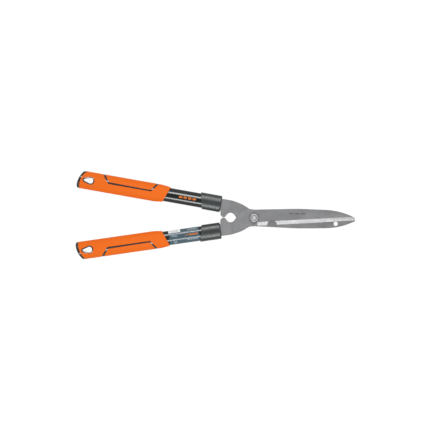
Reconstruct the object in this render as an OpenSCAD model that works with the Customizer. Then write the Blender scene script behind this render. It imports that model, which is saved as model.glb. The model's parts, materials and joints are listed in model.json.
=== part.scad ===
// Hedge shears: two forged blades on one pivot bolt, oval tube handles and two-colour grips.
// The outlines are laid out about the pivot: +X runs to the tips, +Z to the nut side, and the
// front half holds the upper blade and the lower handle. "placed" then moves the whole tool so
// that its origin is at the middle of its underside.

/* [Blades] */
// Distance from the pivot to the blade tips
blade_reach = 211.5; // [170:0.5:260]
// Thickness of the blade plate
plate_t = 3; // [2.4:0.1:4]
// Distance from the blade's axis to its spine where it is widest
belly = 20.75; // [18:0.25:25]
// Distance from the blade's axis to its spine beside the pivot
neck = 17.3; // [15.5:0.1:19]
// Distance from the blade's axis to its cutting edge at the heel
heel = 16.6; // [14:0.1:18]
// Angle between the cutting edge and the blade's axis
edge_angle = 4.1; // [3:0.1:4.6]
// Width of the ground bevel
bevel_w = 8.2; // [5:0.1:9.5]
// Thickness left at the cutting edge
edge_t = 0.5; // [0.3:0.1:1]
// Radius of the rounded tip
tip_r = 3.67; // [3:0.01:5]
// Angle at which the spine falls to the tip
taper_angle = 22.8; // [18:0.1:28]
// Distance from the tip back to where the spine starts to fall
taper_len = 35; // [28:0.5:45]
// Distance from the pivot to the branch notch
notch_x = 38; // [34:0.5:60]
// Radius of the branch notch
notch_r = 10.4; // [7:0.1:11]
// Radius of the hole near the tip of the back blade
tip_hole_r = 4.3; // [3:0.1:4.5]
// Distance from the tip back to that hole
tip_hole_back = 40.4; // [34:0.1:60]

/* [Pivot] */
// Diameter of the pivot bolt
bolt_d = 10; // [8:0.5:11]
// Width of the nut across its flats
nut_af = 17; // [16:0.5:19]
// Height of the nut's hexagon
nut_h = 7; // [6:0.5:9]
// Height of the nut's round collar
collar_h = 2.6; // [2:0.1:4]
// Radius of the washer
washer_r = 10.5; // [10:0.1:12]
// Thickness of the washer
washer_t = 2; // [1:0.1:2.5]
// Height of the bolt's domed head
head_h = 4.6; // [4:0.1:6]
// Radius of the bolt's domed head
head_r = 11; // [9:0.1:13]
// Side of the square neck under the head
square_w = 10.6; // [10.2:0.1:12]

/* [Handles] */
// Distance behind the pivot of the ferrule mouths
mouth_x = 69; // [67:0.1:72]
// Distance of the ferrule mouths from the middle
mouth_y = 27.6; // [26:0.1:32]
// Angle at which each handle spreads
spread = 9.1; // [7:0.1:12]
// Distance from the ferrule mouth to the rear end of the grip
handle_len = 302.3; // [250:0.1:420]
// Width of the oval tube
tube_w = 30; // [26:0.5:31]
// Thickness of the oval tube
tube_h = 15; // [13:0.5:17]
// Wall of the tube
tube_wall = 1.2; // [1:0.1:1.6]
// Length of the tang inside the handle
tang_len = 60; // [45:1:80]
// Width of the tang inside the handle
tang_w = 20; // [14:0.5:21]
// Diameter of the pins through tube and tang
pin_d = 5; // [3:0.5:6]

/* [Ferrules] */
// Width of the ferrule
ferrule_w = 34.8; // [34:0.1:38]
// Thickness of the ferrule
ferrule_h = 20; // [19:0.5:22]
// Length of the ferrule along its middle
ferrule_len = 41.9; // [36:0.1:42]
// Radius of the ferrule's rounded sides
ferrule_side_r = 8.6; // [6:0.1:8.8]
// Thickness of the ferrule's front wall
ferrule_wall = 3; // [2:0.1:3.5]
// Slant of the ferrule's rear edge
ferrule_slant = 12; // [0:0.5:15]

/* [Grips] */
// Length of the grip along its middle
grip_len = 186.7; // [150:0.5:230]
// Width of the grip
grip_w = 37.6; // [36:0.1:40]
// Thickness of the grip
grip_h = 24; // [22:0.5:26]
// Thickness of the orange shell
skin = 1.6; // [1.2:0.1:2]
// Slant of the grip's front edge
grip_slant = 20.5; // [0:0.5:25]
// Length of the black end cap
cap_len = 5.3; // [4:0.1:8]
// Width of the black line round the pad
line_w = 3.9; // [2:0.1:5]
// Distance from the grip's rear end to the middle of the hanging hole
hole_back = 26; // [22:0.5:32]
// Large radius of the hanging hole
hole_r = 5.6; // [4:0.1:6]
// Small radius of the hanging hole, at its rear point
hole_point_r = 2.3; // [1.5:0.1:2.6]
// Distance between the hanging hole's two radii
hole_len = 12; // [10:0.1:14]
// Width of the black rim round the hanging hole
rim_w = 2.5; // [1.5:0.1:3]

/* [Label] */
// Distance from the ferrule mouth to the label
label_start = 45.3; // [44.5:0.1:50]
// Length of the label
label_len = 63.6; // [40:0.1:64]

/* [Hidden] */
$fn = 96;

// Clearances: between the two blades, in the pivot bore, and in slip fits inside a handle
blade_gap = 0.1;
bore_gap = 0.05;
square_gap = 0.1;
slip_gap = 0.15;
stop_gap = 0.2;    // each stop bump stays this far from the middle
far = 400;         // reach of a cutting shape past anything it cuts

steel = [0.56, 0.57, 0.58];
zinc = [0.8, 0.8, 0.82];
black = [0.12, 0.13, 0.13];
orange = [0.95, 0.45, 0.15];

// ---- Outline helpers ----
function unit(v) = v / norm(v);
function cross2(a, b) = a[0] * b[1] - a[1] * b[0];
// The point where the line through p along u meets the line through q along v
function meet(p, u, q, v) = p + u * cross2(q - p, v) / cross2(u, v);
function arc_points(c, r, a, turn, n) = [for (i = [0:n]) c + r * [cos(a + turn * i / n), sin(a + turn * i / n)]];
// One corner [x, y, r] rounded between its neighbours
function corner(a, b, c) =
    let (p = [b[0], b[1]], u = unit([a[0], a[1]] - p), v = unit([c[0], c[1]] - p),
        half = acos(u * v) / 2, r = b[2])
    r == 0 ? [p] :
    let (m = p + unit(u + v) * r / sin(half), s = p + u * r / tan(half) - m,
        side = cross2(u, v) > 0 ? -1 : 1, turn = side * (180 - 2 * half))
    arc_points(m, r, atan2(s[1], s[0]), turn, max(2, ceil(abs(turn) / 5)));
function rounded(pts) = [for (i = [0:len(pts) - 1])
    each corner(pts[(i + len(pts) - 1) % len(pts)], pts[i], pts[(i + 1) % len(pts)])];
// A clockwise or anticlockwise outline moved inwards by d, with its corner radii to match
function area(pts) = sum2([for (i = [0:len(pts) - 1]) cross2(pts[i], pts[(i + 1) % len(pts)])]);
function sum2(v) = [for (x = v) 1] * v;
function inset(pts, d) =
    let (n = len(pts), turn = area(pts) > 0 ? 1 : -1)
    [for (i = [0:n - 1])
        let (a = pts[(i + n - 1) % n], b = pts[i], c = pts[(i + 1) % n],
            u = unit([b[0] - a[0], b[1] - a[1]]), v = unit([c[0] - b[0], c[1] - b[1]]),
            p = meet([b[0], b[1]] + turn * d * [-u[1], u[0]], u, [b[0], b[1]] + turn * d * [-v[1], v[0]], v))
        [p[0], p[1], b[2] == 0 ? 0 : b[2] - turn * sign(cross2(u, v)) * d]];
// A four-arc oval of width w and height h whose end arcs have radius r
module oval(w, h, r) {
    drop = (pow(w / 2 - r, 2) - pow(h / 2 - r, 2)) / (h - 2 * r);
    big = h / 2 + drop;
    join_x = (w / 2 - r) * big / (big - r);
    intersection() {
        translate([0, -drop]) circle(big, $fn = 360);
        translate([0, drop]) circle(big, $fn = 360);
        square([2 * join_x, h + 1], center = true);
    }
    for (side = [-1, 1]) translate([side * (w / 2 - r), 0]) circle(r);
}
module prism(h) { translate([0, 0, -h / 2]) linear_extrude(h) children(); }

// ---- Handle layout: x runs back along a handle from the ferrule mouth, y outwards ----
function on_handle(t, w) = [-mouth_x - t * cos(spread) + w * sin(spread), -mouth_y - t * sin(spread) - w * cos(spread)];
module front_side() { translate([-mouth_x, -mouth_y, 0]) rotate([0, 0, spread]) rotate([0, 0, 180]) children(); }
module back_side() { rotate([180, 0, 0]) front_side() children(); }
module along() { rotate([90, 0, 90]) children(); }

// ---- Whole tool: from the pivot to the middle of its underside ----
grip_start = handle_len - grip_len;
front_run = 20;    // length over which the grip narrows to the tube
// The grip's rear end, from its outer to its inner corner: one wide arc between two small ones
rear_end = [
    [handle_len - 9.6, grip_w / 2, 7],
    [handle_len + 2.85, 2, 42],
    [handle_len + 0.85, -grip_w / 2, 5]];
rear_x = min([for (p = rounded(grip_outline(0))) on_handle(p[0], p[1])[0]]);
placed_x = -(blade_reach + rear_x) / 2;
module placed() { translate([placed_x, 0, grip_h / 2]) children(); }

// ---- Blades ----
edge_dir = [cos(edge_angle), sin(edge_angle)];
heel_point = [8, -heel];
tip_center = let (x = blade_reach - tip_r)
    [x, heel_point[1] + (x - heel_point[0]) * tan(edge_angle) + tip_r / cos(edge_angle)];
spine_dir = [-cos(taper_angle), sin(taper_angle)];
spine_start = tip_center + tip_r * [sin(taper_angle), cos(taper_angle)];
tip_corner = meet(heel_point, edge_dir, spine_start, spine_dir);
spine_fall = let (x = blade_reach - taper_len)
    [x, spine_start[1] + (spine_start[0] - x) * tan(taper_angle)];
// Inside edge of the tang: the rounded opening in front of the stop bump
tang_in = 13.6;
tang_out = 11.5;
shoulder = ferrule_wall;
blade_outline = [
    [heel_point[0], heel_point[1], 3],
    [tip_corner[0], tip_corner[1], tip_r],
    [spine_fall[0], spine_fall[1], 137],
    [93, belly, 500],
    [0, neck, 60],
    [-12.5, neck + 2, 18],
    [-26.5, neck - 2.5, 20],
    [-35.5, 1.8, 60],
    [-48.9, -15.8, 9.3],
    [-62.8, 2.5 - stop_gap, 5.2],
    [-70.2, -4.8, 4.5],
    on_tang(-0.9, -tang_in),
    on_tang(shoulder, -tang_in),
    on_tang(shoulder, -tang_w / 2),
    on_tang(tang_len, -tang_w / 2, 3),
    on_tang(tang_len, tang_w / 2, 3),
    on_tang(shoulder, tang_w / 2),
    on_tang(shoulder, tang_out),
    [-45, -35.6, 60],
    [-24.5, -28.2, 60],
    [-6.5, -16.8, 14]];
function on_tang(t, w, r = 0) = let (p = on_handle(t, w)) [p[0], p[1], r];
// Height of the plate along the blade: flat by the pivot, stepped to the middle at the tang
crank_front = -39.5;
crank_back = -50;
plate_low = blade_gap / 2;
plate_high = plate_low + plate_t;
module crank_profile() {
    polygon([[far, plate_low], [far, plate_high], [crank_front, plate_high], [crank_back, plate_t / 2],
        [-far, plate_t / 2], [-far, -plate_t / 2], [crank_back, -plate_t / 2], [crank_front, plate_low]]);
}
bevel_angle = atan((plate_t - edge_t) / bevel_w);
// The ground bevel: everything above a plane that leans on the edge, with a round end at the heel
module bevel_cut() {
    translate([heel_point[0], heel_point[1], plate_low + edge_t]) rotate([0, 0, edge_angle])
        intersection() {
            rotate([bevel_angle, 0, 0]) translate([-far, -far, 0]) cube([2 * far, 2 * far, far]);
            linear_extrude(far) union() {
                translate([bevel_w / 2, -far]) square([far, far + bevel_w * 2]);
                translate([bevel_w / 2, bevel_w / 2]) circle(bevel_w / 2 + 1);
            }
        }
}
module blade_plate() {
    difference() {
        intersection() {
            linear_extrude(2 * plate_high, center = true) polygon(rounded(blade_outline));
            rotate([90, 0, 0]) linear_extrude(far, center = true) crank_profile();
        }
        bevel_cut();
        front_side() pin_holes();
    }
}
pin_places = [14, 31];
module pin_holes() {
    for (t = pin_places) translate([t, 0, 0]) cylinder(d = pin_d, h = 2 * tube_h, center = true);
}
edge_at_notch = heel_point + edge_dir * (notch_x - heel_point[0]) / cos(edge_angle);

module front_blade() {
    color(steel) placed() difference() {
        blade_plate();
        cylinder(d = bolt_d + 2 * bore_gap, h = far, center = true);
        translate([edge_at_notch[0], edge_at_notch[1] - 0.6, 0]) cylinder(r = notch_r, h = far, center = true);
    }
}
tip_hole = [blade_reach - tip_hole_back, -9.7];
module back_blade() {
    color(steel) placed() rotate([180, 0, 0]) difference() {
        blade_plate();
        prism(far) square(square_w + 2 * square_gap, center = true);
        translate([tip_hole[0], -tip_hole[1], 0]) cylinder(r = tip_hole_r, h = far, center = true);
    }
}

// ---- Pivot ----
washer_z = plate_high + blade_gap;
nut_z = washer_z + washer_t;
collar_z = nut_z + nut_h;
bolt_top = collar_z + collar_h + 0.8;
head_sphere_r = (head_r * head_r + head_h * head_h) / (2 * head_h);
module pivot_bolt() {
    color(zinc) placed() union() {
        translate([0, 0, -plate_low]) cylinder(d = bolt_d, h = bolt_top + plate_low - 1);
        translate([0, 0, bolt_top - 1]) cylinder(d1 = bolt_d, d2 = bolt_d - 2, h = 1);
        translate([0, 0, -plate_high]) linear_extrude(plate_t) square(square_w, center = true);
        intersection() {
            translate([0, 0, -plate_high - head_h + head_sphere_r]) sphere(head_sphere_r);
            translate([0, 0, -plate_high - head_h]) cylinder(r = head_r + 1, h = head_h);
        }
    }
}
module pivot_washer() {
    color(zinc) placed() difference() {
        translate([0, 0, washer_z]) cylinder(r = washer_r, h = washer_t);
        cylinder(d = bolt_d, h = far, center = true);
    }
}
module pivot_nut() {
    corner_r = nut_af / sqrt(3);
    color(zinc) placed() difference() {
        intersection() {
            union() {
                translate([0, 0, nut_z]) rotate([0, 0, 30]) cylinder(r = corner_r, h = nut_h, $fn = 6);
                translate([0, 0, nut_z + 1]) cylinder(r = nut_af / 2 - 0.4, h = nut_h - 1 + collar_h);
            }
            // Chamfers off the corners at both ends of the hexagon
            rotate_extrude() polygon([[0, nut_z - 1], [nut_af / 2 - 0.2, nut_z], [corner_r, nut_z + 0.9],
                [corner_r, collar_z - 0.9], [nut_af / 2 - 0.2, collar_z], [nut_af / 2 - 0.2, collar_z + collar_h],
                [0, collar_z + collar_h]]);
        }
        cylinder(d = bolt_d, h = far, center = true);
        translate([0, 0, collar_z]) cylinder(d = bolt_d + 3, h = collar_h - 0.6);
        translate([0, 0, collar_z]) cylinder(d = bolt_d + 1.6, h = far);
    }
}
module nut_locking_ring() {
    color("royalblue") placed() translate([0, 0, collar_z]) difference() {
        cylinder(d = bolt_d + 3, h = collar_h - 0.6);
        cylinder(d = bolt_d, h = far, center = true);
    }
}

// ---- Tubes and what joins them to the tangs ----
tube_start = ferrule_wall + slip_gap;
pocket_end = handle_len - hole_back - hole_r - rim_w - 2.5;
tube_end = pocket_end - 0.5;
function end_r(h) = h / 3;
module tube_section(grow) { oval(tube_w + 2 * grow, tube_h + 2 * grow, end_r(tube_h) + grow); }
module extruded(from, to) { translate([from, 0, 0]) along() linear_extrude(to - from) children(); }

module tube() {
    color(black) difference() {
        extruded(tube_start, tube_end) tube_section(0);
        extruded(tube_start - 1, tube_end + 1) tube_section(-tube_wall);
        pin_holes();
    }
}
module tang_plug() {
    color("dimgray") difference() {
        extruded(tube_start, tang_len + 4) tube_section(-tube_wall - slip_gap / 2);
        translate([-1, -tang_w / 2 - slip_gap, -plate_t / 2 - slip_gap])
            cube([tang_len + slip_gap + 1, tang_w + 2 * slip_gap, plate_t + 2 * slip_gap]);
        pin_holes();
    }
}
module tang_pins() {
    pin_len = tube_h - 2 * slip_gap;
    color(zinc) for (t = pin_places) translate([t, 0, -pin_len / 2]) cylinder(d = pin_d, h = pin_len);
}
module ferrule() {
    color(black) difference() {
        extruded(0, far) oval(ferrule_w, ferrule_h, ferrule_side_r);
        extruded(ferrule_wall, 2 * far) tube_section(slip_gap / 2);
        translate([-1, -tang_in - slip_gap, -plate_t / 2 - slip_gap])
            cube([ferrule_wall + 2, tang_in + tang_out + 2 * slip_gap, plate_t + 2 * slip_gap]);
        translate([ferrule_len, 0, -far]) rotate([0, 0, -ferrule_slant])
            translate([0, -far, 0]) cube([2 * far, 2 * far, 2 * far]);
    }
}
module tube_label() {
    label_t = 0.2;
    color([0.35, 0.4, 0.43]) difference() {
        extruded(label_start, label_start + label_len) tube_section(label_t);
        extruded(label_start - 1, label_start + label_len + 1) tube_section(0);
    }
}

// ---- Grips ----
// Plan of the grip in handle layout, clockwise from the front outer corner
function grip_outline(d) =
    let (half = grip_w / 2, front_half = half - 2.3, lean = tan(grip_slant))
    inset([
        [grip_start - front_half * lean, front_half, 1.5],
        [grip_start - half * lean + front_run, half, 60],
        each rear_end,
        [grip_start + half * lean + front_run - 4, -half, 60],
        [grip_start + front_half * lean, -front_half, 1.5]], d);
module grip_side(d) {
    half = grip_h / 2 + 1 - d;
    front_half = tube_h / 2 + skin - d;
    polygon([[grip_start - far, front_half], [grip_start - 2, front_half], [grip_start + front_run - 4, half],
        [handle_len + far, half], [handle_len + far, -half], [grip_start + front_run - 4, -half],
        [grip_start - 2, -front_half], [grip_start - far, -front_half]]);
}
module grip_body(d) {
    intersection() {
        prism(far) polygon(rounded(grip_outline(d)));
        extruded(-far, 2 * far) oval(grip_w + 1 - 2 * d, grip_h - 2 * d, end_r(grip_h) + 1 - d);
        rotate([90, 0, 0]) linear_extrude(far, center = true) grip_side(d);
    }
}
hole_mid = [handle_len - hole_back, 0.25];
module teardrop(grow) {
    lean = asin((hole_r - hole_point_r) / hole_len);
    polygon(concat(
        arc_points(hole_mid, hole_r + grow, 90 - lean, 180 + 2 * lean, 40),
        arc_points(hole_mid + [hole_len, 0], hole_point_r + grow, lean - 90, 180 - 2 * lean, 20)));
}
line_y = 2.25;
pad_rear = handle_len - 49.9;
pad_outline = [
    [grip_start + 20, grip_w / 2 + 2, 0],
    [grip_start + 34, line_y, 1.5],
    [pad_rear - 14.5, line_y, 3],
    [pad_rear - 7.5, 10, 4],
    [pad_rear, grip_w / 2 + 2, 0]];
module pad_plan(grow) { polygon(rounded(inset(pad_outline, -grow))); }
// Plan of the end cap: everything behind the rear end's wide arc, moved forwards
module cap_plan() {
    past = 2.3;
    outer = rear_end[1] + past * (rear_end[0] - rear_end[1]);
    inner = rear_end[1] + past * (rear_end[2] - rear_end[1]);
    translate([-cap_len, 0]) polygon(rounded([
        [outer[0], outer[1], 0], rear_end[1], [inner[0], inner[1], 0],
        [inner[0] + grip_w, inner[1], 0], [inner[0] + grip_w, outer[1], 0]]));
}
module grip_core() {
    color(black) difference() {
        union() {
            grip_body(skin);
            intersection() {
                grip_body(0);
                prism(far) union() {
                    cap_plan();
                    teardrop(rim_w);
                }
            }
            intersection() {
                grip_body(0.3);
                prism(far) difference() { pad_plan(line_w / 2); pad_plan(-line_w / 2); }
            }
        }
        extruded(0, pocket_end) tube_section(slip_gap / 2);
        prism(far) teardrop(0);
    }
}
module grip_shell() {
    color(orange) difference() {
        grip_body(0);
        grip_body(skin);
        extruded(0, pocket_end) tube_section(slip_gap / 2);
        prism(2 * far) union() {
            cap_plan();
            teardrop(rim_w);
            pad_plan(line_w / 2);
        }
    }
}
module grip_pad() {
    color(orange) intersection() {
        difference() { grip_body(0); grip_body(skin); }
        prism(far) pad_plan(-line_w / 2);
    }
}

front_blade();
back_blade();
pivot_bolt();
pivot_washer();
pivot_nut();
nut_locking_ring();
placed() front_side() tang_plug();  // front_tang_plug
placed() back_side() tang_plug();  // back_tang_plug
placed() front_side() tang_pins();  // front_tang_pins
placed() back_side() tang_pins();  // back_tang_pins
placed() front_side() tube();  // front_tube
placed() back_side() tube();  // back_tube
placed() front_side() ferrule();  // front_ferrule
placed() back_side() ferrule();  // back_ferrule
placed() front_side() tube_label();  // front_tube_label
placed() front_side() grip_core();  // front_grip_core
placed() back_side() grip_core();  // back_grip_core
placed() front_side() grip_shell();  // front_grip_shell
placed() back_side() grip_shell();  // back_grip_shell
placed() front_side() grip_pad();  // front_grip_pad
placed() back_side() grip_pad();  // back_grip_pad
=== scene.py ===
import json
import math

import bmesh
import bpy
from bpy.props import FloatProperty, FloatVectorProperty, IntProperty, PointerProperty
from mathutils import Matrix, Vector


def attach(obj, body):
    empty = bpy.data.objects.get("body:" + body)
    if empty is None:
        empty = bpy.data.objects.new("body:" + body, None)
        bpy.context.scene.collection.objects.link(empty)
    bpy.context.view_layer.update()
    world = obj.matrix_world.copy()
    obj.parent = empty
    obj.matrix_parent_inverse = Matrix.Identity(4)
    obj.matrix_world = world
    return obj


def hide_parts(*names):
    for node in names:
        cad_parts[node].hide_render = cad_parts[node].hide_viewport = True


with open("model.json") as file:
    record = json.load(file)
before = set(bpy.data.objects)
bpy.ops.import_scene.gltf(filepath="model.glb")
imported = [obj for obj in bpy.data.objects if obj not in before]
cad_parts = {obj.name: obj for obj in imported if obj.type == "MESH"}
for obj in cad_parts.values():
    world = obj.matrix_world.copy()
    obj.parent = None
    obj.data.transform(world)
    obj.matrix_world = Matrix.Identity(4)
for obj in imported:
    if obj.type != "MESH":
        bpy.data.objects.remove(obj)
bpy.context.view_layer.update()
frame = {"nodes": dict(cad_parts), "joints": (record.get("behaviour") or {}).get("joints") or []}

bl_info = {
    "name": "Hedge shears",
    "version": (1, 0, 0),
    "blender": (4, 5, 0),
    "location": "View3D > Sidebar > Shears",
    "description": "Finishes a pair of hedge shears and sets up a plain studio",
    "category": "Object",
}

MM = 0.001
PIVOT = Vector(frame["joints"][0]["pos_m"])
# Handle layout, the same as in the CAD model: t runs back from a ferrule's mouth, w outwards
MOUTH_X = 69.0 * MM
MOUTH_Y = 27.6 * MM
SPREAD = math.radians(9.1)
# Rear end of a grip: corners (t, w) of its outline, from the inner to the outer side
REAR_END = [(303.15 * MM, -18.8 * MM), (305.15 * MM, 2.0 * MM), (292.7 * MM, 18.8 * MM)]
# The rear edge lies less than this in front of that outline, and the black cap's front edge lies more
REAR_EDGE = 4.2 * MM
# w at which the rear edge's rounding starts and is full, on the inner and on the outer side
ROUND_INNER = (-8.0 * MM, -2.0 * MM)
ROUND_OUTER = (15.0 * MM, 8.0 * MM)
# Half width and half height of a ferrule, and the share of them beyond which an edge is an outer one
FERRULE_HALF = (17.4 * MM, 10.0 * MM)
FERRULE_OUTER = 0.8
# Distance behind a ferrule's mouth up to which edges are the mouth's, and from which they are the rear's
FERRULE_ENDS = (0.2 * MM, 10.0 * MM)
# z of the unit normal on the ground bevels, as seen from a blade's outer side
BEVEL_LEAN = (0.93, 0.975)
# Smaller faces with that lean belong to a blade's rounded edges
BEVEL_AREA = 2 * MM * MM
# z of the same normal below which a face is a blade's inner one
INNER_LEAN = -0.99
# Distance behind the pivot at which the smoother finish of that face starts, a little darker as painted shade
# under the other blade
INNER_FROM = 35 * MM
# Radius between that of the nut's thread and that of its collar's rim
COLLAR_RIM = 7 * MM
# Edges less than this below the nut's top are at its top, and the hexagon's shoulders lie deeper than that
NUT_TOP = 0.1 * MM
SHOULDER_DEPTH = 2.2 * MM
# Faces with more than this as the z of their unit normal look upwards
UPWARDS = 0.3
# How much the mottling changes the roughness of a finish
ROUGHNESS_SPREAD = 0.16
# z of the unit direction at which the dome starts to darken and at which it is darkest
DOME_RAMP = (0.78, 0.95)
# Side of the square floor, and how far it lies under the tool
FLOOR_SIDE = 8.0
FLOOR_DROP = 0.2 * MM
# Each half of the tool: its body, and the side of the X axis that its handle lies on
HALVES = {"front": ("front_half", -1), "back": ("back_half", 1)}
# An edge that turns by more than this is sharp, and two faces that turn by less than this are one
SHARP = math.radians(30)
FLAT = math.radians(0.4)
# Corners of the CAD triangles that lie closer than this are one
SAME_CORNER = 0.004 * MM
# Depth of the grain, before its strength
GRAIN_DEPTH = 0.1 * MM


# ---------------------------------------------------------------- sizes and colours

class ShearsSizes(bpy.types.PropertyGroup):
    """Roundings and relief that the finished pieces get"""

    plate_round: FloatProperty(
        name="Plate edge", description="Rounding of the blades' punched edges",
        default=0.35 * MM, min=0.0, unit="LENGTH")
    ferrule_round: FloatProperty(
        name="Ferrule mouth", description="Rounding of the ferrules' front edge",
        default=2.6 * MM, min=0.0, unit="LENGTH")
    ferrule_rear_round: FloatProperty(
        name="Ferrule rear", description="Rounding of the ferrules' rear edge",
        default=0.3 * MM, min=0.0, unit="LENGTH")
    zinc_round: FloatProperty(
        name="Bolt and nut edges", description="Rounding of the bolt's and the nut's edges",
        default=0.3 * MM, min=0.0, unit="LENGTH")
    washer_round: FloatProperty(
        name="Washer edge", description="Rounding of the washer's edges",
        default=0.4 * MM, min=0.0, unit="LENGTH")
    collar_round: FloatProperty(
        name="Nut collar", description="Rounding of the outer edge of the nut's collar",
        default=1.4 * MM, min=0.0, unit="LENGTH")
    cap_round: FloatProperty(
        name="Grip end", description="Rounding of the grips' rear edge",
        default=2.5 * MM, min=0.0, unit="LENGTH")
    seam_round: FloatProperty(
        name="Grip seams", description="Rounding where the grips' two colours meet",
        default=0.22 * MM, min=0.0, unit="LENGTH")
    round_steps: IntProperty(
        name="Rounding steps", description="Faces across a large rounding",
        default=5, min=1, max=12)


class ShearsColours(bpy.types.PropertyGroup):
    """Colours of the finishes"""

    steel: FloatVectorProperty(
        name="Blasted steel", description="Colour of the blades' flat faces",
        subtype="COLOR", default=(0.325, 0.327, 0.334), min=0.0, max=1.0)
    ground: FloatVectorProperty(
        name="Ground steel", description="Colour of the ground bevels",
        subtype="COLOR", default=(0.40, 0.40, 0.405), min=0.0, max=1.0)
    zinc: FloatVectorProperty(
        name="Zinc plate", description="Colour of the bolt, nut, washer and pins",
        subtype="COLOR", default=(0.52, 0.52, 0.53), min=0.0, max=1.0)
    paint: FloatVectorProperty(
        name="Tube paint", description="Colour of the gloss paint on the tubes",
        subtype="COLOR", default=(0.004, 0.007, 0.007), min=0.0, max=1.0)
    nylon: FloatVectorProperty(
        name="Ferrules", description="Colour of the moulded ferrules",
        subtype="COLOR", default=(0.019, 0.025, 0.025), min=0.0, max=1.0)
    black: FloatVectorProperty(
        name="Grip black", description="Colour of the grips' inner moulding",
        subtype="COLOR", default=(0.016, 0.016, 0.014), min=0.0, max=1.0)
    orange: FloatVectorProperty(
        name="Grip orange", description="Colour of the grips' shells and pads",
        subtype="COLOR", default=(0.80, 0.139, 0.003), min=0.0, max=1.0)
    label: FloatVectorProperty(
        name="Label", description="Ground colour of the tube label",
        subtype="COLOR", default=(0.056, 0.098, 0.123), min=0.0, max=1.0)
    ink: FloatVectorProperty(
        name="Orange ink", description="Colour of the orange printing on tube and label",
        subtype="COLOR", default=(0.62, 0.16, 0.02), min=0.0, max=1.0)


class ShearsStage(bpy.types.PropertyGroup):
    """Camera, floor and light"""

    view_width: FloatProperty(
        name="View width", description="Width of the view in the pivot's plane",
        default=0.8987, min=0.1, unit="LENGTH")
    camera_height: FloatProperty(
        name="Camera height", description="Height of the camera over the pivot",
        default=3.2, min=0.5, unit="LENGTH")
    camera_turn: FloatProperty(
        name="Camera turn", description="How far the camera is turned about its own axis",
        default=math.radians(0.95), subtype="ANGLE")
    aim: FloatVectorProperty(
        name="Aim", description="Middle of the view, from the pivot",
        size=2, default=(-0.08145, 0.0047), subtype="XYZ", unit="LENGTH")
    strip_tilt: FloatProperty(
        name="Strip tilt", description="How far each strip light is off the vertical",
        default=math.radians(27), subtype="ANGLE")
    strip_reach: FloatProperty(
        name="Strip distance", description="Distance of each strip light from the tool's middle line",
        default=1.35, min=0.2, unit="LENGTH")
    strip_shift: FloatProperty(
        name="Strip shift", description="How far the strip lights are shifted towards the blades' tips",
        default=0.05, unit="LENGTH")
    strip_length: FloatProperty(
        name="Strip length", description="Length of each strip light",
        default=1.0, min=0.01, unit="LENGTH")
    strip_width: FloatProperty(
        name="Strip width", description="Width of each strip light",
        default=0.22, min=0.01, unit="LENGTH")
    strip_power: FloatProperty(
        name="Strip power", description="Power of each strip light",
        default=6.4, min=0.0, unit="POWER")
    floor_glow: FloatProperty(
        name="Floor glow", description="Brightness that the floor has of its own",
        default=0.96, min=0.0)
    dome_side: FloatProperty(
        name="Dome at the sides", description="Brightness of the dome away from its top",
        default=0.64, min=0.0)
    dome_top: FloatProperty(
        name="Dome at the top", description="Brightness of the dome's top",
        default=0.27, min=0.0)


# ---------------------------------------------------------------- places

def handle_place(side, point):
    """(t, w, z) of a point: along a handle from its ferrule's mouth, outwards across it, and up."""
    x = point.x - PIVOT.x + MOUTH_X
    y = side * (point.y - PIVOT.y) - MOUTH_Y
    return Vector((
        -x * math.cos(SPREAD) + y * math.sin(SPREAD),
        x * math.sin(SPREAD) + y * math.cos(SPREAD),
        point.z - PIVOT.z))


def between(value, ends):
    """How far a value lies from the first end (0) to the second (1), and past them in proportion."""
    return (value - ends[0]) / (ends[1] - ends[0])


def rear_rim_weight(side, point):
    """1 on the middle of a grip's rear edge, less towards its corners, and 0 anywhere else."""
    place = handle_place(side, point)
    (t0, w0), (t1, w1) = REAR_END[:2] if place.y < REAR_END[1][1] else REAR_END[1:]
    if place.x < t0 + between(place.y, (w0, w1)) * (t1 - t0) - REAR_EDGE:
        return 0.0
    return max(0.0, min(1.0, between(place.y, ROUND_INNER), between(place.y, ROUND_OUTER)))


def mouth_weight(side, point):
    """1 on the outer edge of a ferrule's mouth, and 0 anywhere else."""
    place = handle_place(side, point)
    out = math.hypot(place.y / FERRULE_HALF[0], place.z / FERRULE_HALF[1])
    return 1.0 if out > FERRULE_OUTER and place.x < FERRULE_ENDS[0] else 0.0


# ---------------------------------------------------------------- shader node groups

def new_group(name, inputs, outputs):
    """An empty shader node group with float inputs {name: default} and named outputs."""
    group = bpy.data.node_groups.new(name, "ShaderNodeTree")
    for label, value in inputs.items():
        socket = group.interface.new_socket(name=label, in_out="INPUT", socket_type="NodeSocketFloat")
        socket.default_value = value
    for label in outputs:
        group.interface.new_socket(name=label, in_out="OUTPUT", socket_type="NodeSocketFloat")
    return group, group.nodes.new("NodeGroupInput"), group.nodes.new("NodeGroupOutput")


def math_node(tree, operation, a, b=None):
    """A Math node whose inputs are sockets or numbers; returns its output socket."""
    node = tree.nodes.new("ShaderNodeMath")
    node.operation = operation
    for socket, value in zip(node.inputs, (a, b)):
        if value is None:
            continue
        if isinstance(value, (int, float)):
            socket.default_value = value
        else:
            tree.links.new(value, socket)
    return node.outputs[0]


def noise_node(tree, vector, scale, detail, roughness):
    """A 3D noise; returns its factor socket. scale is a socket or a number."""
    node = tree.nodes.new("ShaderNodeTexNoise")
    tree.links.new(vector, node.inputs["Vector"])
    if isinstance(scale, (int, float)):
        node.inputs["Scale"].default_value = scale
    else:
        tree.links.new(scale, node.inputs["Scale"])
    node.inputs["Detail"].default_value = detail
    node.inputs["Roughness"].default_value = roughness
    return node.outputs["Fac"]


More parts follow.
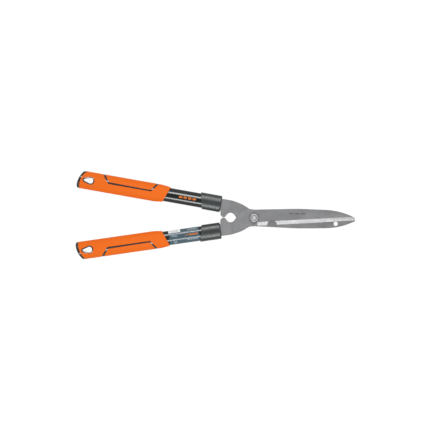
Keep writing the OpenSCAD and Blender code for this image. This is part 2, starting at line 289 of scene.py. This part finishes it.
def grain_group():
    """Fine surface grain that can be drawn out along X or Y, and a broad mottling."""
    name = "surface_grain"
    if name in bpy.data.node_groups:
        return bpy.data.node_groups[name]
    values = {"Scale": 1500.0, "Long": 1.0, "Wide": 1.0}
    group, ins, outs = new_group(name, values, ("Height", "Mottle"))
    coords = group.nodes.new("ShaderNodeTexCoord").outputs["Object"]
    split = group.nodes.new("ShaderNodeSeparateXYZ")
    group.links.new(coords, split.inputs[0])
    join = group.nodes.new("ShaderNodeCombineXYZ")
    for axis, stretch in (("X", "Long"), ("Y", "Wide")):
        drawn = math_node(group, "DIVIDE", split.outputs[axis], ins.outputs[stretch])
        group.links.new(drawn, join.inputs[axis])
    group.links.new(split.outputs["Z"], join.inputs["Z"])
    fine = noise_node(group, join.outputs[0], ins.outputs["Scale"], detail=3.0, roughness=0.6)
    group.links.new(fine, outs.inputs["Height"])
    broad = noise_node(group, coords, 45.0, detail=4.0, roughness=0.55)
    group.links.new(broad, outs.inputs["Mottle"])
    return group


def handle_group():
    """Where a point lies on a handle, in millimetres: Along from the ferrule's mouth, Across outwards."""
    name = "handle_place"
    if name in bpy.data.node_groups:
        return bpy.data.node_groups[name]
    group, ins, outs = new_group(name, {"Side": 1.0}, ("Along", "Across", "Above"))
    split = group.nodes.new("ShaderNodeSeparateXYZ")
    group.links.new(group.nodes.new("ShaderNodeTexCoord").outputs["Object"], split.inputs[0])
    x = math_node(group, "SUBTRACT", split.outputs["X"], PIVOT.x - MOUTH_X)
    outwards = math_node(group, "MULTIPLY", split.outputs["Y"], ins.outputs["Side"])
    y = math_node(group, "SUBTRACT", outwards, MOUTH_Y)
    for label, by_x, by_y in (("Along", -math.cos(SPREAD), math.sin(SPREAD)),
                              ("Across", math.sin(SPREAD), math.cos(SPREAD))):
        total = math_node(group, "ADD", math_node(group, "MULTIPLY", x, by_x / MM),
                          math_node(group, "MULTIPLY", y, by_y / MM))
        group.links.new(total, outs.inputs[label])
    z = math_node(group, "SUBTRACT", split.outputs["Z"], PIVOT.z)
    group.links.new(math_node(group, "MULTIPLY", z, 1 / MM), outs.inputs["Above"])
    return group


def blade_group():
    """Where a point lies on the closed blades, in millimetres from the pivot."""
    name = "blade_place"
    if name in bpy.data.node_groups:
        return bpy.data.node_groups[name]
    group, _, outs = new_group(name, {}, ("Along", "Across", "Above"))
    split = group.nodes.new("ShaderNodeSeparateXYZ")
    group.links.new(group.nodes.new("ShaderNodeTexCoord").outputs["Object"], split.inputs[0])
    for axis, label, middle in (("X", "Along", PIVOT.x), ("Y", "Across", PIVOT.y), ("Z", "Above", PIVOT.z)):
        away = math_node(group, "SUBTRACT", split.outputs[axis], middle)
        group.links.new(math_node(group, "MULTIPLY", away, 1 / MM), outs.inputs[label])
    return group


def placed_group(tree, group, **values):
    """A node that holds the group, with its own values."""
    node = tree.nodes.new("ShaderNodeGroup")
    node.node_tree = group
    for label, value in values.items():
        node.inputs[label].default_value = value
    return node


# ---------------------------------------------------------------- printing

def block_mask(tree, place, along, across):
    """1 inside a rectangle on the upper side of a handle, given as (from, to) pairs in millimetres."""
    mask = math_node(tree, "GREATER_THAN", place.outputs["Above"], 0.0)
    for label, (low, high) in (("Along", along), ("Across", across)):
        inside = math_node(tree, "COMPARE", place.outputs[label], (low + high) / 2)
        inside.node.inputs[2].default_value = (high - low) / 2
        mask = math_node(tree, "MULTIPLY", mask, inside)
    return mask


def blocks_mask(tree, place, blocks):
    """1 inside any of the rectangles."""
    masks = [block_mask(tree, place, along, across) for along, across in blocks]
    total = masks[0]
    for mask in masks[1:]:
        total = math_node(tree, "MAXIMUM", total, mask)
    return total


def rows(along, starts, height):
    """Rectangles of one length and height, one below another."""
    return [(along, (start, start + height)) for start in starts]


def dashes(across, first, length, gap, count):
    """Rectangles of one length in a row along the handle."""
    starts = [first + i * (length + gap) for i in range(count)]
    return [((start, start + length), across) for start in starts]


# Plain bars on the upper tube and on the front blade
TUBE_BARS = dashes((-2.2, 2.2), 53.5, 7.0, 2.6, 4)
BLADE_BARS = dashes((8.6, 12.2), 73.0, 9.0, 3.5, 3)
# Plain blocks that stand in for a label's printing, by colour
LABEL_PAPER = [((84.0, 112.0), (-15.2, -9.4))]
LABEL_GREY = rows((88.0, 105.0), (-13.4, -11.5), 0.6)
LABEL_ORANGE = dashes((-3.0, 0.4), 48.5, 4.8, 1.6, 3) + [((67.5, 75.0), (-2.0, -1.0))]
LABEL_PALE = (rows((48.5, 69.0), (-13.4, -11.6), 0.9) + dashes((7.4, 9.6), 49.0, 2.6, 1.4, 6)
              + rows((91.0, 103.0), (-4.2, -2.0), 1.0) + rows((93.0, 100.0), (9.0, 11.2), 1.3))


# ---------------------------------------------------------------- materials

def start_material(name):
    """A new material with its Principled shader; returns (material, tree, shader)."""
    material = bpy.data.materials.new(name)
    material.use_nodes = True
    return material, material.node_tree, material.node_tree.nodes["Principled BSDF"]


def mix_colour(tree, factor, a, b):
    """A colour mix; a and b are colours or sockets. Returns the result socket."""
    node = tree.nodes.new("ShaderNodeMix")
    node.data_type = "RGBA"
    tree.links.new(factor, node.inputs["Factor"])
    for label, value in (("A", a), ("B", b)):
        socket = [s for s in node.inputs if s.name == label and s.type == "RGBA"][0]
        if isinstance(value, bpy.types.NodeSocket):
            tree.links.new(value, socket)
        else:
            socket.default_value = (*value[:3], 1.0)
    return [s for s in node.outputs if s.type == "RGBA"][0]


def shade(colour, factor):
    """A colour made darker or lighter."""
    return tuple(c * factor for c in colour)


def moulded(name, colour, roughness, grain, bump, vary=0.12, coat=0.0, long=1.0, wide=1.0, gloss=0.5,
            tone="Mottle"):
    """A solid colour with a fine grain, toned by its broad mottling or by the grain's own height."""
    material, tree, shader = start_material(name)
    node = placed_group(tree, grain_group(), Scale=grain, Long=long, Wide=wide)
    tint = mix_colour(tree, node.outputs[tone], shade(colour, 1 - vary), shade(colour, 1 + vary))
    rough = math_node(tree, "MULTIPLY_ADD", node.outputs["Mottle"], ROUGHNESS_SPREAD)
    rough.node.inputs[2].default_value = roughness - ROUGHNESS_SPREAD / 2
    tree.links.new(tint, shader.inputs["Base Color"])
    tree.links.new(rough, shader.inputs["Roughness"])
    height = tree.nodes.new("ShaderNodeBump")
    height.inputs["Strength"].default_value = bump
    height.inputs["Distance"].default_value = GRAIN_DEPTH
    tree.links.new(node.outputs["Height"], height.inputs["Height"])
    tree.links.new(height.outputs[0], shader.inputs["Normal"])
    shader.inputs["Specular IOR Level"].default_value = gloss
    shader.inputs["Coat Weight"].default_value = coat
    shader.inputs["Coat Roughness"].default_value = 0.08
    return material


def metal(name, colour, roughness, grain, bump, vary=0.05, long=1.0, wide=1.0, tone="Mottle"):
    """A bare metal: the same build as a moulding, with a fully metallic shader."""
    material = moulded(name, colour, roughness, grain, bump, vary, long=long, wide=wide, tone=tone)
    material.node_tree.nodes["Principled BSDF"].inputs["Metallic"].default_value = 1.0
    return material


def print_over(material, group, layers, **values):
    """Prints layers, pairs of blocks and colour, over a material's own colour, in a group's coordinates."""
    tree = material.node_tree
    shader = tree.nodes["Principled BSDF"]
    place = placed_group(tree, group, **values)
    for blocks, colour in layers:
        under = shader.inputs["Base Color"].links[0].from_socket
        mask = blocks_mask(tree, place, blocks)
        tree.links.new(mix_colour(tree, mask, under, colour), shader.inputs["Base Color"])
    return material


def gloss_paint(name, colours):
    """The tubes' black paint under a clear coat."""
    return moulded(name, colours.paint, 0.16, 300, 0.0, vary=0.1, coat=1.0, gloss=0.25)


def printed_tube(name, colours):
    """The tubes' paint with a plain row of orange bars."""
    return print_over(gloss_paint(name, colours), handle_group(), [(TUBE_BARS, colours.ink)], Side=1)


def blasted_steel(name, colours):
    """The blades' steel with its fine blasted grain."""
    return metal(name, colours.steel, 0.36, 1600, 0.1, vary=0.13, tone="Height")


def etched_blade(name, colours):
    """The blades' steel with a faint etched row of plain bars."""
    etched = shade(colours.steel, 0.66)
    return print_over(blasted_steel(name, colours), blade_group(), [(BLADE_BARS, etched)])


def printed_label(name, colours):
    """The label's film, printed with plain blocks."""
    material = moulded(name, colours.label, 0.24, 600, 0.01, vary=0.06, coat=0.6, gloss=0.3)
    grey = (0.22, 0.24, 0.25)
    pale = (0.33, 0.40, 0.43)
    paper = (0.80, 0.82, 0.83)
    layers = [(LABEL_PAPER, paper), (LABEL_GREY, grey), (LABEL_PALE, pale), (LABEL_ORANGE, colours.ink)]
    return print_over(material, handle_group(), layers, Side=-1)


def make_finish(name):
    """Makes a finish by its name."""
    colours = bpy.context.scene.shears_colours
    makers = {
        "steel_blasted": lambda: blasted_steel(name, colours),
        "steel_etched": lambda: etched_blade(name, colours),
        # Inner faces: a smoother finish, and a touch darker as painted shade where one blade lies under the
        # other
        "steel_inner_painted_shade": lambda: metal(name, shade(colours.steel, 0.99), 0.35, 3000, 0.15, long=8.0),
        "steel_ground": lambda: metal(name, colours.ground, 0.46, 900, 0.12, 0.35, wide=8.0, tone="Height"),
        "zinc_satin": lambda: metal(name, colours.zinc, 0.46, 900, 0.06),
        # Zinc at half brightness: painted shade for the dark ring round the nut, on the washer and the nut's
        # lower shoulders
        "zinc_painted_shade": lambda: metal(name, shade(colours.zinc, 0.5), 0.4, 900, 0.1, vary=0.06),
        "paint_gloss": lambda: gloss_paint(name, colours),
        "paint_printed": lambda: printed_tube(name, colours),
        "nylon_black": lambda: moulded(name, colours.nylon, 0.3, 1400, 0.04, vary=0.1, gloss=0.75),
        "rubber_black": lambda: moulded(name, colours.black, 0.26, 1300, 0.05, vary=0.1, coat=1.0, gloss=0.3),
        "rubber_orange": lambda: moulded(name, colours.orange, 0.55, 1500, 0.18, vary=0.02, gloss=0.2),
        "plastic_plug": lambda: moulded(name, (0.05, 0.05, 0.05), 0.5, 900, 0.2),
        "nylon_ring": lambda: moulded(name, (0.03, 0.04, 0.06), 0.45, 900, 0.1),
        "film_label": lambda: printed_label(name, colours),
    }
    return makers[name]()


def finish(name):
    """The finish of that name, made the first time that it is asked for."""
    return bpy.data.materials.get(name) or make_finish(name)


# ---------------------------------------------------------------- modelling helpers

def only(obj):
    """Selects obj alone and makes it active."""
    bpy.ops.object.select_all(action="DESELECT")
    obj.select_set(True)
    bpy.context.view_layer.objects.active = obj


def cast_of(node, name):
    """A new piece with the shape of a CAD node, its triangles joined into whole faces."""
    obj = bpy.data.objects.new(name, frame["nodes"][node].data.copy())
    bpy.context.scene.collection.objects.link(obj)
    obj.data.materials.clear()
    only(obj)
    bpy.ops.mesh.customdata_custom_splitnormals_clear()
    bpy.ops.object.mode_set(mode="EDIT")
    bpy.ops.mesh.select_all(action="SELECT")
    bpy.ops.mesh.remove_doubles(threshold=SAME_CORNER)
    bpy.ops.mesh.dissolve_limited(angle_limit=FLAT)
    bpy.ops.object.mode_set(mode="OBJECT")
    return obj


def round_edges(obj, width, steps, chosen=lambda middle: True):
    """Bevels the sharp edges whose middle is chosen."""
    only(obj)
    bpy.ops.object.mode_set(mode="EDIT")
    bpy.ops.mesh.select_mode(type="EDGE")
    bpy.ops.mesh.select_all(action="DESELECT")
    mesh = bmesh.from_edit_mesh(obj.data)
    for edge in mesh.edges:
        sharp = len(edge.link_faces) == 2 and edge.calc_face_angle() > SHARP
        if sharp and chosen((edge.verts[0].co + edge.verts[1].co) / 2):
            edge.select = True
    bmesh.update_edit_mesh(obj.data)
    bpy.ops.mesh.bevel(offset=width, segments=steps, profile=0.5, affect="EDGES", clamp_overlap=True)
    bpy.ops.object.mode_set(mode="OBJECT")


def round_by_weight(obj, width, steps, weight):
    """Bevels the sharp edges by weight(middle) times the width."""
    mesh = bmesh.new()
    mesh.from_mesh(obj.data)
    layer = mesh.edges.layers.float.new("bevel_weight_edge")
    for edge in mesh.edges:
        if len(edge.link_faces) == 2 and edge.calc_face_angle() > SHARP:
            edge[layer] = weight((edge.verts[0].co + edge.verts[1].co) / 2)
    mesh.to_mesh(obj.data)
    mesh.free()
    only(obj)
    bevel = obj.modifiers.new("rounding", "BEVEL")
    bevel.limit_method = "WEIGHT"
    bevel.width = width
    bevel.segments = steps
    bevel.use_clamp_overlap = False
    bpy.ops.object.modifier_apply(modifier=bevel.name)


def settle(obj, half, slot, replaces, *materials):
    """Shades a finished piece that replaces a CAD node, gives it materials and lets it ride on its half."""
    only(obj)
    bpy.ops.object.shade_smooth_by_angle(angle=SHARP)
    flat = obj.modifiers.new("flat faces", "WEIGHTED_NORMAL")
    flat.keep_sharp = True
    bpy.ops.object.modifier_apply(modifier=flat.name)
    for material in materials:
        obj.data.materials.append(material)
    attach(obj, HALVES[half][0])
    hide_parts(replaces)


def dress(node, material):
    """Gives a CAD node that stays as it is its material."""
    mesh = frame["nodes"][node].data
    mesh.materials.clear()
    mesh.materials.append(material)


# ---------------------------------------------------------------- pieces

class SHEARS_OT_blades(bpy.types.Operator):
    """Finish the two blades: rounded punched edges and ground bevels"""

    bl_idname = "shears.blades"
    bl_label = "Blades"

    def execute(self, context):
        sizes = context.scene.shears_sizes
        for half, up in (("front", 1), ("back", -1)):
            blade = cast_of(half + "_blade", half + "_blade_finished")
            round_edges(blade, sizes.plate_round, steps=2)
            flat = finish("steel_etched" if half == "front" else "steel_blasted")
            settle(blade, half, "blade_steel", half + "_blade", flat, finish("steel_ground"),
                   finish("steel_inner_painted_shade"))
            for face in blade.data.polygons:
                lean = face.normal.z * up
                if BEVEL_LEAN[0] < lean < BEVEL_LEAN[1] and face.area > BEVEL_AREA:
                    face.material_index = 1
                elif lean < INNER_LEAN and face.center.x > PIVOT.x - INNER_FROM:
                    face.material_index = 2
        return {"FINISHED"}


class SHEARS_OT_pivot(bpy.types.Operator):
    """Finish the pivot bolt, washer, nut and its locking ring"""

    bl_idname = "shears.pivot"
    bl_label = "Pivot"

    def execute(self, context):
        sizes = context.scene.shears_sizes
        # The washer and the nut's shoulders get half-bright zinc as painted shade round the nut
        for node, width, look in (("pivot_bolt", sizes.zinc_round, "zinc_satin"),
                                  ("pivot_washer", sizes.washer_round, "zinc_painted_shade"),
                                  ("pivot_nut", sizes.zinc_round, "zinc_satin")):
            piece = cast_of(node, node + "_finished")
            if node == "pivot_nut":
                round_edges(piece, sizes.collar_round, steps=4, chosen=self.collar_rim(piece))
            round_edges(piece, width, steps=3)
            settle(piece, "back", "zinc", node, finish(look), finish("zinc_painted_shade"))
            if node == "pivot_nut":
                self.shade_below_collar(piece)
        dress("nut_locking_ring", finish("nylon_ring"))
        return {"FINISHED"}

    def collar_rim(self, nut):
        """A test for the outer edge of the collar's top."""
        top = max(vertex.co.z for vertex in nut.data.vertices)
        return lambda middle: middle.z > top - NUT_TOP and (middle - PIVOT).xy.length > COLLAR_RIM

    def shade_below_collar(self, nut):
        """Gives the hexagon's shoulders, which lie deeper than the collar, the darker zinc as painted shade.
        """
        top = max(vertex.co.z for vertex in nut.data.vertices)
        for face in nut.data.polygons:
            if face.center.z < top - SHOULDER_DEPTH and face.normal.z > UPWARDS:
                face.material_index = 1


class SHEARS_OT_tubes(bpy.types.Operator):
    """Finish the handle tubes, the label, and what is hidden inside them"""

    bl_idname = "shears.tubes"
    bl_label = "Tubes"

    def execute(self, context):
        for half in HALVES:
            tube = cast_of(half + "_tube", half + "_tube_finished")
            look = "paint_printed" if half == "back" else "paint_gloss"
            settle(tube, half, "tube_paint", half + "_tube", finish(look))
            dress(half + "_tang_plug", finish("plastic_plug"))
            dress(half + "_tang_pins", finish("zinc_satin"))
        label = cast_of("front_tube_label", "front_tube_label_finished")
        settle(label, "front", "label_film", "front_tube_label", finish("film_label"))
        return {"FINISHED"}


class SHEARS_OT_ferrules(bpy.types.Operator):
    """Finish the moulded ferrules, with a rounded mouth"""

    bl_idname = "shears.ferrules"
    bl_label = "Ferrules"

    def execute(self, context):
        sizes = context.scene.shears_sizes
        for half, (_, side) in HALVES.items():
            ferrule = cast_of(half + "_ferrule", half + "_ferrule_finished")
            round_by_weight(ferrule, sizes.ferrule_round, sizes.round_steps,
                            lambda middle, side=side: mouth_weight(side, middle))
            round_edges(ferrule, sizes.ferrule_rear_round, steps=2,
                        chosen=lambda middle, side=side: handle_place(side, middle).x > FERRULE_ENDS[1])
            settle(ferrule, half, "ferrule_plastic", half + "_ferrule", finish("nylon_black"))
        return {"FINISHED"}


class SHEARS_OT_grips(bpy.types.Operator):
    """Finish the grips: inner moulding, orange shell and pad"""

    bl_idname = "shears.grips"
    bl_label = "Grips"

    def execute(self, context):
        sizes = context.scene.shears_sizes
        for half, (_, side) in HALVES.items():
            for part, slot, look in (("core", "grip_black", "rubber_black"),
                                     ("shell", "grip_orange", "rubber_orange"),
                                     ("pad", "grip_orange", "rubber_orange")):
                node = f"{half}_grip_{part}"
                piece = cast_of(node, node + "_finished")
                if part == "core":
                    round_by_weight(piece, sizes.cap_round, sizes.round_steps,
                                    lambda middle, side=side: rear_rim_weight(side, middle))
                else:
                    round_edges(piece, sizes.seam_round, steps=2)
                settle(piece, half, slot, node, finish(look))
        return {"FINISHED"}


class SHEARS_OT_stage(bpy.types.Operator):
    """Set up the camera, a plain floor and soft light"""

    bl_idname = "shears.stage"
    bl_label = "Stage"

    def execute(self, context):
        scene = context.scene
        stage = scene.shears_stage
        scene.view_settings.view_transform = "Standard"
        self.camera(scene, stage)
        self.floor(stage)
        self.light(scene, stage)
        return {"FINISHED"}

    def camera(self, scene, stage):
        """A camera that looks straight down."""
        data = bpy.data.cameras.new("camera")
        data.lens = data.sensor_width * stage.camera_height / stage.view_width
        data.clip_end = 20.0
        camera = bpy.data.objects.new("camera", data)
        camera.location = PIVOT + Vector((stage.aim[0], stage.aim[1], stage.camera_height))
        camera.rotation_euler = (0.0, 0.0, stage.camera_turn)
        scene.collection.objects.link(camera)
        scene.camera = camera

    def floor(self, stage):
        """A wide white floor just under the tool, evenly bright."""
        bpy.ops.object.select_all(action="DESELECT")
        bpy.ops.mesh.primitive_plane_add(size=FLOOR_SIDE, location=(0.0, 0.0, -FLOOR_DROP))
        floor = bpy.context.object
        floor.name = "floor"
        material, tree, shader = start_material("floor_paper")
        shader.inputs["Base Color"].default_value = (0.1, 0.1, 0.1, 1.0)
        shader.inputs["Roughness"].default_value = 0.9
        shader.inputs["Specular IOR Level"].default_value = 0.0
        shader.inputs["Emission Color"].default_value = (1.0, 1.0, 1.0, 1.0)
        shader.inputs["Emission Strength"].default_value = stage.floor_glow
        floor.data.materials.append(material)

    def light(self, scene, stage):
        """A white dome that darkens towards its top, and a long strip light above each side."""
        world = bpy.data.worlds.new("studio")
        scene.world = world
        world.use_nodes = True
        tree = world.node_tree
        back = tree.nodes["Background"]
        back.inputs["Color"].default_value = (1.0, 1.0, 1.0, 1.0)
        direction = tree.nodes.new("ShaderNodeTexCoord").outputs["Generated"]
        split = tree.nodes.new("ShaderNodeSeparateXYZ")
        tree.links.new(direction, split.inputs[0])
        ramp = tree.nodes.new("ShaderNodeMapRange")
        tree.links.new(split.outputs["Z"], ramp.inputs["Value"])
        ramp.interpolation_type = "SMOOTHSTEP"
        ramp.inputs["From Min"].default_value = DOME_RAMP[0]
        ramp.inputs["From Max"].default_value = DOME_RAMP[1]
        ramp.inputs["To Min"].default_value = stage.dome_side
        ramp.inputs["To Max"].default_value = stage.dome_top
        tree.links.new(ramp.outputs["Result"], back.inputs["Strength"])
        for side in (-1, 1):
            data = bpy.data.lights.new("strip", "AREA")
            data.shape = "RECTANGLE"
            data.size = stage.strip_length
            data.size_y = stage.strip_width
            data.energy = stage.strip_power
            strip = bpy.data.objects.new("strip", data)
            strip.location = (stage.strip_shift, side * stage.strip_reach * math.sin(stage.strip_tilt),
                              stage.strip_reach * math.cos(stage.strip_tilt))
            strip.rotation_euler = (-side * stage.strip_tilt, 0.0, 0.0)
            scene.collection.objects.link(strip)


class SHEARS_PT_panel(bpy.types.Panel):
    """Lists the pieces of the shears"""

    bl_idname = "SHEARS_PT_panel"
    bl_label = "Hedge shears"
    bl_space_type = "VIEW_3D"
    bl_region_type = "UI"
    bl_category = "Shears"

    def draw(self, context):
        for operator in STEPS:
            self.layout.operator(operator.bl_idname)


GROUPS = {"shears_sizes": ShearsSizes, "shears_colours": ShearsColours, "shears_stage": ShearsStage}
STEPS = (SHEARS_OT_stage, SHEARS_OT_blades, SHEARS_OT_pivot, SHEARS_OT_tubes, SHEARS_OT_ferrules,
         SHEARS_OT_grips)


def register():
    for group in (*GROUPS.values(), *STEPS, SHEARS_PT_panel):
        bpy.utils.register_class(group)
    for name, group in GROUPS.items():
        setattr(bpy.types.Scene, name, PointerProperty(type=group))


def unregister():
    for name in GROUPS:
        delattr(bpy.types.Scene, name)
    for group in reversed((*GROUPS.values(), *STEPS, SHEARS_PT_panel)):
        bpy.utils.unregister_class(group)


def main():
    """Registers the add-on and runs its steps."""
    register()
    for operator in STEPS:
        getattr(bpy.ops.shears, operator.bl_idname.split(".")[1])()


if __name__ == "__main__":
    main()
